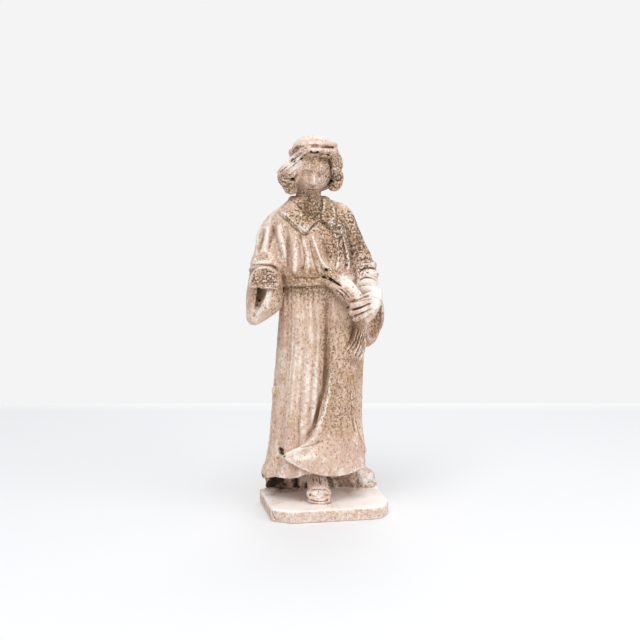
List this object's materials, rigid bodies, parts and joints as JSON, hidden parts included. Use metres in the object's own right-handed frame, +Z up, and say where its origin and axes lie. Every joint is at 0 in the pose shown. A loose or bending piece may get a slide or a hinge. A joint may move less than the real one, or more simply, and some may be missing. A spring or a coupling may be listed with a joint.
{
  "type": "plaster statuette of a robed figure",
  "caption": "Cast plaster statuette of a long-haired robed figure holding a fish, one forearm broken off, standing on its own low chamfered plinth.",
  "frame": {"origin": "centre of the plinth's flat underside", "axes": "+Z up, the figure faces -Y, +X to the right of someone facing it"},
  "size_m": [0.166, 0.128, 0.4385],
  "materials": {
    "plaster": "weathered cast plaster, pinkish cream with ochre stains and dark pits"
  },
  "bodies": {
    "root": {"plaster_figure": "plaster"}
  },
  "joints": []
}
